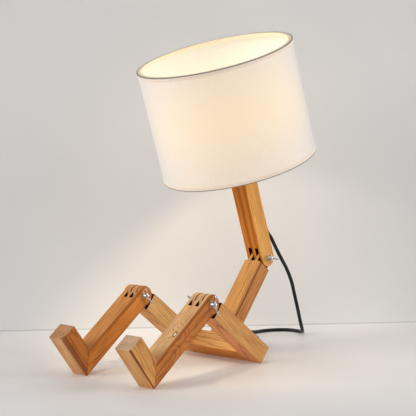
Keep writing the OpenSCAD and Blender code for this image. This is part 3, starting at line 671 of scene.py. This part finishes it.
def drum(outer, inner, low, high, lap, start):
    """A thin drum wall, closed over its rims: the outer face from low to high and the inner one
    back down. Over the first LAP mm round from start its outside stands lap prouder. Returns the
    grid, and its size round and places along in metres."""
    height = np.concatenate([np.linspace(low, high, 33), np.linspace(high, low, 33), [low]])
    base = np.concatenate([np.full(33, outer), np.full(33, inner), [outer]])[:, None]
    around = np.linspace(0, 1, 360, endpoint=False)[None]
    proud = np.clip((LAP / (2 * np.pi * outer) - around) * 600 + 1, 0, 1)
    radius = base + lap * proud * (base == outer)
    angle = start + 2 * np.pi * around
    return round_z(radius, angle, height[:, None]), (2 * np.pi * outer / 1000, height / 1000)


wall, laid = drum(SHADE_R - 0.2, SHADE_R - 0.75, RIM_LO + 0.3, RIM_HI - 0.3, 0.15,
                  math.radians(-114))
fabric = fitted("shade_linen", "head", linen, "shade_linen", ["shade_fabric"], on_head(wall),
                laid=[laid])

# The lining: stiff white translucent sheet, matt inside, that spreads the lamplight
styrene, tree, shader = mottled("matt_white_styrene_sheet", 700.0,
                                [(0.3, "#c3c2bb"), (0.7, "#d1d0c9")], Roughness=0.6)
lit_from_inside(tree, shader, [(0.4, "#fff6d8"), (1.0, "#fff3cc")], near=0.08, far=0.08)
coat(styrene, "shade_liner")

# Rim tape: linen tape folded over each wire ring and glued. Its crease along the outer edge is
# grey and passes no light, over about 1 mm; inside the drum it is darker and yellower.
tape, tree, shader = finish_of("folded_linen_tape", Roughness=0.88)
head = lit_from_inside(tree, shader, [(0.4, "#ffdcb4"), (1.0, "#ffd29c")])
slub = add(tree, "TexNoise", {"Vector": head, "Scale": 0.5, "Detail": 3.0}).outputs["Fac"]
outer = add(tree, "ValToRGB", {"Fac": slub}, [(0.3, "#d8cfc2"), (0.7, "#e6dfd4")])
inner = add(tree, "ValToRGB", {"Fac": slub}, [(0.3, "#bdb6a0"), (0.7, "#cac3ae")])
radius = add(tree, "VectorMath", {0: head, 1: (1, 1, 0)}, operation="MULTIPLY")
radius = add(tree, "VectorMath", {0: radius}, operation="LENGTH").outputs["Value"]
out = add(tree, "MapRange", {"Value": radius, "From Min": 108.3, "From Max": 108.8})
tint = add(tree, "Mix", {0: out.outputs[0], 6: inner, 7: outer}, data_type="RGBA")
height = add(tree, "SeparateXYZ", {0: head}).outputs["Z"]
off = add(tree, "Math", {0: height, 1: (RIM_LO + RIM_HI) / 2}, operation="SUBTRACT")
off = add(tree, "Math", {0: off}, operation="ABSOLUTE")
crease = add(tree, "MapRange", {"Value": off, "From Min": (RIM_HI - RIM_LO) / 2 - 1.1,
                                "From Max": (RIM_HI - RIM_LO) / 2 - 0.4})
crease = add(tree, "Math", {0: crease, 1: out}, operation="MULTIPLY")
tint = add(tree, "Mix", {0: crease, 6: tint.outputs[2], 7: linear("#8d877e")},
           data_type="RGBA")
strength = add(tree, "MapRange", {"Value": crease, "To Min": 0.22, "To Max": 0.0})
bump = add(tree, "Bump", {"Height": slub, "Strength": 0.3, "Distance": 0.0003})
feed(tree, shader, {"Base Color": tint.outputs[2], "Emission Strength": strength,
                    "Normal": bump})
coat(tape, "top_trim", "bottom_trim")

# Wire: rings and a three-armed spider, powder coated white with a faint peel
coated = mottled("white_powder_coated_wire", 900.0, [(0.3, "#dddbd6"), (0.7, "#ecebe6")],
                 Roughness=0.5)[0]
coat(coated, "top_ring", "bottom_ring", "shade_spider")

# ------------------------------------------------------------------------------- bulb
# An opal glass globe 45 mm across, lit and warm white, on a cap of rolled aluminium with a screw
# thread; a lead-free solder button is its contact.
# Opal glass: milky, glossy and faintly clouded
opal, tree, shader = mottled("opal_glass", 120.0, [(0.3, "#f1ebe0"), (0.7, "#f8f4ec")],
                             detail=1.0, Roughness=0.25)
feed(tree, shader, {"Emission Strength": 7.0, "Emission Color": linear("#fff0d9")})
# Rolled sheet: bright, with duller rubbed patches about a millimetre and a half across
aluminium = mottled("rolled_aluminium", 600.0, [(0.3, "#a9abad"), (0.7, "#cfd1d3")],
                    rough=(0.25, 0.5), Metallic=1.0, Roughness=0.35)[0]

# The globe's profile: a short waisted neck out of the cap, then a circle's arc to the pole, and
# the same 1 mm further in on the way back
arc = np.radians(np.linspace(-50, 90, 40))
globe = np.concatenate([
    [(13.0, 208), (13.0, 210), (13.1, 213), (13.6, 216.5)],
    np.stack([BULB_R * np.cos(arc), BULB_Z + BULB_R * np.sin(arc)], -1),
    np.stack([(BULB_R - 1) * np.cos(arc), BULB_Z + (BULB_R - 1) * np.sin(arc)], -1)[::-1],
    [(12.5, 216.5), (12.0, 213), (11.8, 208), (13.0, 208)],
])
globe[:, 0] = np.maximum(globe[:, 0], 0)
globe_glass = fitted("bulb_globe", "head", opal, "bulb_opal", ["bulb_glass"],
                     on_head(turned(globe, 96)))

# The cap: a rounded thread of 3.6 mm pitch, 0.8 mm deep, in a shell 1 mm thick
screw = screwed(189.5, 206, 140, 13.2, 0.8, 3.6)
below = turned([(4.2, 187), (4.2, 185), (7.5, 185.6), (10.6, 187.2), (12.3, 189.2)], 96)
above = turned([(13.2, 206.5), (13.2, 208), (12, 208), (11.7, 207.5), (11.7, 190), (6.5, 187),
                (4.2, 187)], 96)
cap = np.concatenate([below, screw, above])
fitted("bulb_screw_cap", "head", aluminium, "bulb_metal", ["bulb_cap"], on_head(cap))
button = turned([(0, 183), (2.6, 183.05), (3.8, 183.6), (4.2, 184.5), (4.2, 185), (0, 185)], 48)
fitted("bulb_contact_button", "head", aluminium, "bulb_metal", ["bulb_contact"],
       on_head(button))

# ------------------------------------------------------------------------------- cord
# 1.8 m of round black PVC flex, 5.2 mm thick: it hangs from the sleeve to the table, runs
# through an inline switch and is wound into a coil behind the seat, with its plug beside it.
CORD_D, COIL = 0.0052, (-28, 104)
drop_route = [
    (0, 148.47, 167.46), (0, 157, 158), (0, 165, 146), (0, 173, 134), (0, 182, 121),
    (0, 190, 110), (0, 197, 98), (0, 203, 85), (0, 207, 72), (0, 211, 59), (0, 215, 46),
    (-1, 220, 32), (-3, 226, 19), (-8, 235, 9), (-17, 245, 4), (-29, 251, 2.6),
    (-43, 251, 2.6), (-56, 245, 2.6), (-66, 235, 2.6), (-73, 222, 2.6), (-77, 207, 2.6),
    (-78, 192, 4.5), (-78, 178, 7),
]
run_route = [(-78, 116, 7), (-78, 103, 5), (-74, 91, 2.6), (-65, 80, 2.6), (-53, 73, 2.6),
             (-40, 70.3, 2.6)]
tail_route = [(-42.4, 73.2, 13), (-34, 69.8, 13.1), (-26, 67.8, 12.6), (-18, 66.9, 10.9),
              (-9, 68.3, 8.4), (0, 70.5, 7)]


def through(points, steps):
    """A smooth line through points, as Catmull and Rom's cubic: each stretch leaves and arrives
    along the line between the points on either side of its ends."""
    p = np.array(points, float)
    p = np.concatenate([2 * p[:1] - p[1:2], p, 2 * p[-1:] - p[-2:-1]])
    t = np.linspace(0, 1, steps, endpoint=False)[None, :, None]
    a, b, c, d = (p[i:len(p) - 3 + i, None] for i in range(4))
    line = 0.5 * (2 * b + (c - a) * t + (2 * a - 5 * b + 4 * c - d) * t ** 2
                  + (3 * b - a - 3 * c + d) * t ** 3)
    return np.concatenate([line.reshape(-1, 3), p[-2:-1]])


def coil_line(radii, heights, steps):
    """Turns of a coil seen from above: each stays on its own radius and height, and in its last
    quarter moves over to the next one's along a smooth step, 3 s squared less 2 s cubed."""
    turn = np.linspace(0, len(radii), len(radii) * steps + 1)
    here = np.minimum(turn.astype(int), len(radii) - 1)
    after = np.minimum(here + 1, len(radii) - 1)
    share = np.clip((turn - here - 0.75) / 0.25, 0, 1)
    share = share ** 2 * (3 - 2 * share)
    radius = radii[here] * (1 - share) + radii[after] * share
    height = heights[here] * (1 - share) + heights[after] * share
    angle = 2 * np.pi * turn
    return np.stack([COIL[0] + radius * np.sin(angle), COIL[1] - radius * np.cos(angle),
                     height], -1)


def tube(line, radius, around=16):
    """A round section carried along a line, closed at both ends; it is set out from the cross
    product of the line's direction with Z, so it never twists."""
    ahead = np.gradient(line, axis=0)
    ahead /= np.linalg.norm(ahead, axis=1, keepdims=True)
    beside = np.cross(ahead, [0, 0, 1])
    beside /= np.linalg.norm(beside, axis=1, keepdims=True)
    over = np.cross(beside, ahead)
    angle = whole_turn(around)[..., None]
    ring = np.cos(angle) * beside[:, None] + np.sin(angle) * over[:, None]
    return closed(line[:, None] + np.reshape(radius, (-1, 1, 1)) * ring)


# Three turns inwards on the table, three outwards on them and one on top, a diameter apart. The
# last stops 25 degrees, five steps, short of the front, where the tail leaves it
apart = CORD_D * 1000
wound = coil_line(34 - apart * np.array([0, 1, 2, 2, 1, 0, 0]),
                  apart * (0.5 + np.array([0, 0, 0, 1, 1, 1, 2])), 72)[:-5]
drop_line, run_line = through(drop_route, 5), through(run_route + [tuple(wound[0])], 5)
cord_line = np.concatenate([drop_line, run_line[:-1], wound[:-1], through(tail_route, 5)])
cord = fitted("mains_cord", None, soft_pvc, "cord_pvc",
              ["cord_drop", "cord_run", "cord_coil", "cord_tail"],
              tube(cord_line / 1000, CORD_D / 2))
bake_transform(cord)

# ------------------------------------------------------------------------------- tie
# A ribbed strap of soft black plastic, 6 mm wide, holds the coil's bundle together at its back.
BUNDLE, BUNDLE_R = 8.2, 28.8
# Soft plastic: near black and matt, with a fine grit
strap_plastic = mottled("moulded_soft_black_plastic", 1400.0,
                        [(0.3, "#141416"), (0.7, "#232327")], dents=(0.2, 0.0002),
                        Roughness=0.5)[0]


def rounded(half_x, half_y, corner, each=10):
    """A rectangle with round corners: four quarter circles of the corner's radius, whose middles
    are that radius inside the corners, joined by straight sides."""
    angle = np.radians(np.linspace(0, 90, each))[None] + np.radians([[0], [90], [180], [270]])
    side_x, side_y = np.array([1, -1, -1, 1])[:, None], np.array([1, 1, -1, -1])[:, None]
    return np.stack([side_x * (half_x - corner) + corner * np.cos(angle),
                     side_y * (half_y - corner) + corner * np.sin(angle)], -1).reshape(-1, 2)


def stacked(rows):
    """Rounded rectangles one over the other: each row is (half x, half y, corner, height)."""
    return np.stack([np.column_stack([rounded(x, y, corner), np.full(40, height)])
                     for x, y, corner, height in rows])


# The strap's line goes up, over and down round the bundle, 8.2 mm out from its middle, with
# corners of 3 mm; its section is 6 mm wide, and its outside rises 0.25 mm in ribs 1.5 mm apart
up = np.column_stack([np.full(13, BUNDLE), np.append(0.6, np.linspace(2, 12, 12))])
over = rounded(BUNDLE, BUNDLE, 3, 16)[:32] + [0, BUNDLE]
over = np.concatenate([up, over, up[::-1] * [-1, 1]])
ahead = np.gradient(over, axis=0)
ahead /= np.linalg.norm(ahead, axis=1, keepdims=True)
outward = np.stack([ahead[:, 1], -ahead[:, 0]], -1)
travel = np.concatenate([[0], np.cumsum(np.linalg.norm(np.diff(over, axis=0), axis=1))])
rib = 0.25 * np.abs(np.sin(np.pi * travel / 1.5))
across = np.array([(-3, -0.35), (3, -0.35), (3, 0.1), (2.6, 0.35), (-2.6, 0.35), (-3, 0.1)])
lift = across[None, :, 1] + rib[:, None] * (across[None, :, 1] > 0.3) - 0.15
strap = np.stack([np.broadcast_to(across[None, :, 0], lift.shape),
                  over[:, None, 0] + outward[:, None, 0] * lift,
                  over[:, None, 1] + outward[:, None, 1] * lift], -1)
strap = closed((strap + [COIL[0], COIL[1] + BUNDLE_R, 0]) / 1000)
fitted("coil_strap", "frame", strap_plastic, "tie_plastic", ["coil_tie"], strap)

# ------------------------------------------------------------------------------- switch
# An inline rocker switch: two moulded halves of glossy black ABS with round ends, a lip between
# them and a soft gland round the cord at both ends, and a matt rocker on a pin.
SWITCH = np.array([-78, 147, 0])
# Gloss ABS: a mirror-like moulded skin, duller where fingers have touched it
gloss_abs = mottled("moulded_gloss_black_abs", 90.0, [(0.3, "#101012"), (0.7, "#1a1a1d")],
                    detail=3.0, rough=(0.16, 0.34), Roughness=0.22)[0]

base = stacked([(9.0, 27.0, 9.0, 2), (0.4, 18.4, 0.3, 2), (0.4, 18.4, 0.3, 0.01),
                (11.6, 29.6, 11.6, 0.01), (12.5, 30.5, 12.5, 0.4), (13, 31, 13, 1.4),
                (13, 31, 13, 8.2), (12.6, 30.6, 12.6, 8.6), (12.6, 30.6, 12.6, 9),
                (9.0, 27.0, 9.0, 9), (9.0, 27.0, 9.0, 2)])
glands = [turned([(2.5, 27), (4.2, 27), (4.2, 30.8), (3.9, 32.4), (3.3, 32.8), (3.3, 33.4),
                  (3.6, 33.8), (3.4, 35), (2.9, 35.4), (2.9, 36), (2.5, 36), (2.5, 27)], 40)
          [..., [0, 2, 1]] * [1, way, 1] + [0, 0, 7] for way in (1, -1)]
fitted("switch_base_half", "frame", gloss_abs, "switch_plastic", ["switch_base"],
       *[(grid + SWITCH) / 1000 for grid in (base, *glands)])
cover = stacked([(9.2, 27.2, 9.2, 9.05), (12.6, 30.6, 12.6, 9.05), (13, 31, 13, 9.5),
                 (13, 31, 13, 14.2), (12.7, 30.7, 12.7, 15.7), (11.9, 29.9, 11.9, 16.9),
                 (10.6, 28.4, 10.5, 17.7), (9, 26, 8.6, 18), (7.2, 12.2, 1.6, 18),
                 (6.6, 11.6, 1.1, 17.8), (6.4, 11.4, 0.9, 17.3), (6.4, 11.4, 0.9, 15.6),
                 (9.2, 27.2, 9.2, 15.6), (9.2, 27.2, 9.2, 9.05)])
fitted("switch_cover_half", "frame", gloss_abs, "switch_plastic", ["switch_cover"],
       (cover + SWITCH) / 1000)
eased("switch_rocker_cap", ["switch_rocker"], "rocker", strap_plastic, 0.0006)

# ------------------------------------------------------------------------------- plug
# A flat two-pin mains plug of moulded black PVC: a ribbed neck that bends with the cord, a
# flaring body with finger grips, and round nickelled pins with insulated roots.
PLUG, PIN_Y = np.array([0, 70.5, 7]), 9.5
# Moulded PVC: black and satin, with the fine grain of a sparked mould
plug_pvc = mottled("moulded_black_pvc", 1100.0, [(0.3, "#131315"), (0.7, "#1f1f22")],
                   dents=(0.3, 0.0002), Roughness=0.4)[0]

# Sections across the plug, each (half width, half height, corner, distance along it)
neck = []
for step in range(4):
    radius, at = 3.5 + 0.45 * step, 3.0 * step
    neck += [(radius, radius, radius - 0.02, at), (radius, radius, radius - 0.02, at + 1.7),
             (radius - 0.6, radius - 0.6, radius - 0.62, at + 2.0),
             (radius - 0.6, radius - 0.6, radius - 0.62, at + 2.7)]
body = neck + [(7.4, 5.9, 5.2, 12), (9.2, 6.6, 5.0, 15), (11.6, 6.95, 4.6, 18.5),
               (12.8, 7, 4.2, 21), (13, 7, 4, 23)]
for step in range(3):
    at = 23.6 + 2.4 * step
    body += [(13, 7, 4, at), (12.3, 6.7, 3.8, at + 0.5), (12.3, 6.7, 3.8, at + 1.1),
             (13, 7, 4, at + 1.6)]
body += [(13, 7, 4, 32.6), (12.7, 6.8, 3.8, 33.5), (12, 6.2, 3.4, 34)]
along_x = [2, 0, 1]
body = closed(stacked(body)[..., along_x]) + PLUG
roots = [closed(turned([(2, 33), (2, 43.6), (1.9, 44)], 32)[..., along_x]) + PLUG
         + [0, side * PIN_Y, 0] for side in (-1, 1)]
fitted("plug_moulding", "frame", plug_pvc, "switch_plastic", ["plug_body"],
       *[grid / 1000 for grid in (body, *roots)])
pins = [closed(turned([(1.85, 33.5), (1.85, 44), (2, 44.1), (2, 51.6), (1.8, 52.3), (1.3, 52.8),
                       (0.6, 53)], 32)[..., along_x]) + PLUG + [0, side * PIN_Y, 0]
        for side in (-1, 1)]
fitted("plug_pin_pair", "frame", plated, "plug_metal", ["plug_pins"],
       *[pin / 1000 for pin in pins])

# ------------------------------------------------------------------------------- the table
# A pale laminate table against a matt off-white wall, in soft light from the figure's right and
# from its left.
# Laminate and wall paint: pale and plain, with clouds some 20 cm wide; the paint is dead matt
floor_pale = mottled("pale_laminate", 5.0, [(0.35, "#edeae8"), (0.65, "#f3f0ee")],
                     Roughness=0.5)[0]
wall_pale, tree, shader = finish_of("pale_wall_paint", Roughness=0.9)
place = add(tree, "TexCoord").outputs["Object"]
cloud = add(tree, "TexNoise", {"Vector": place, "Scale": 4.0, "Detail": 2.0})
tint = add(tree, "ValToRGB", {"Fac": cloud.outputs["Fac"]}, [(0.35, "#eeeeee"), (0.65, "#f2f2f2")])
# A shadow line at its foot, 2 mm high; its rear is left clear
low = add(tree, "SeparateXYZ", {0: place}).outputs["Z"]
low = add(tree, "MapRange", {"Value": low, "From Min": 0.0022, "From Max": 0.001, "To Max": 0.35})
tint = add(tree, "Mix", {0: low.outputs[0], 6: tint, 7: linear("#8f8b86")}, data_type="RGBA")
feed(tree, shader, {"Base Color": tint.outputs[2]})
facing = add(tree, "NewGeometry").outputs["Backfacing"]
clear = add(tree, "BsdfTransparent")
mixed = add(tree, "MixShader", {0: facing, 1: shader, 2: clear})
feed(tree, tree.nodes["Material Output"], {"Surface": mixed})


def sheet_of(name, corners, material):
    """A flat sheet of the stage with four corners, in metres."""
    mesh = bpy.data.meshes.new(name)
    mesh.from_pydata(corners, [], [range(4)])
    mesh.materials.append(material)
    made = bpy.data.objects.new(name, mesh)
    bpy.context.scene.collection.objects.link(made)
    return made


sheet_of("table_top", [(-3, -3, 0), (3, -3, 0), (3, 3, 0), (-3, 3, 0)], floor_pale)
# The wall runs level across the view, through a point behind the lamp
foot = np.array([-0.1770, 0.2007])
run = np.array([math.cos(azimuth), math.sin(azimuth)])
a, b = foot - 3 * run, foot + 3 * run
sheet_of("wall", [(*a, 0), (*b, 0), (*b, 3), (*a, 3)], wall_pale)

world = bpy.data.worlds.new("room")
world.use_nodes = True
feed(world.node_tree, world.node_tree.nodes["Background"],
     {"Color": (1.0, 1.0, 1.0, 1), "Strength": 0.385})
bpy.context.scene.world = world


def lamp_of(name, kind, place, back, power, colour=(1.0, 1.0, 1.0)):
    """A light of one kind at a place, with its back turned to the direction given, in metres."""
    lamp = bpy.data.lights.new(name, kind)
    lamp.energy, lamp.color = power, colour
    made = bpy.data.objects.new(name, lamp)
    bpy.context.scene.collection.objects.link(made)
    back = np.array(back, float) / np.linalg.norm(back)
    side = np.cross([0, 1, 0.1], back)
    side /= np.linalg.norm(side)
    turn = np.eye(4)
    turn[:3] = np.stack([side, np.cross(back, side), back, place], axis=1)
    made.matrix_world = Matrix(turn.tolist())
    return made


for name, back, power in [("key", (-0.45, -0.8, 0.4), 1.38), ("fill", (0.8, 0.5, 0.35), 1.2)]:
    lamp_of(name, "SUN", (0, 0, 1), back, power).data.angle = 0.65
# The bulb's light that leaves the drum downwards, over wall and table, starts in the opal globe,
# so the globe does not shade it
up = on_head(np.array([[0, 0, BULB_Z], [0, 0, BULB_Z + 1000]]))
lamplight = lamp_of("lamplight", "SPOT", up[0], up[1] - up[0] + [0.4, 0.39, 0], 11,
                    (1.0, 0.8, 0.5))
lamplight.data.spot_size, lamplight.data.spot_blend = math.radians(140), 0.9
lamplight.data.use_nodes = True
tree = lamplight.data.node_tree
even = add(tree, "LightFalloff", {"Strength": 1.0}).outputs["Constant"]
feed(tree, tree.nodes["Emission"], {"Strength": even})
lamplight.data.shadow_soft_size = 0.022
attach(lamplight, "head")
globe_glass.visible_shadow = False
bpy.context.scene.view_settings.view_transform = "Standard"
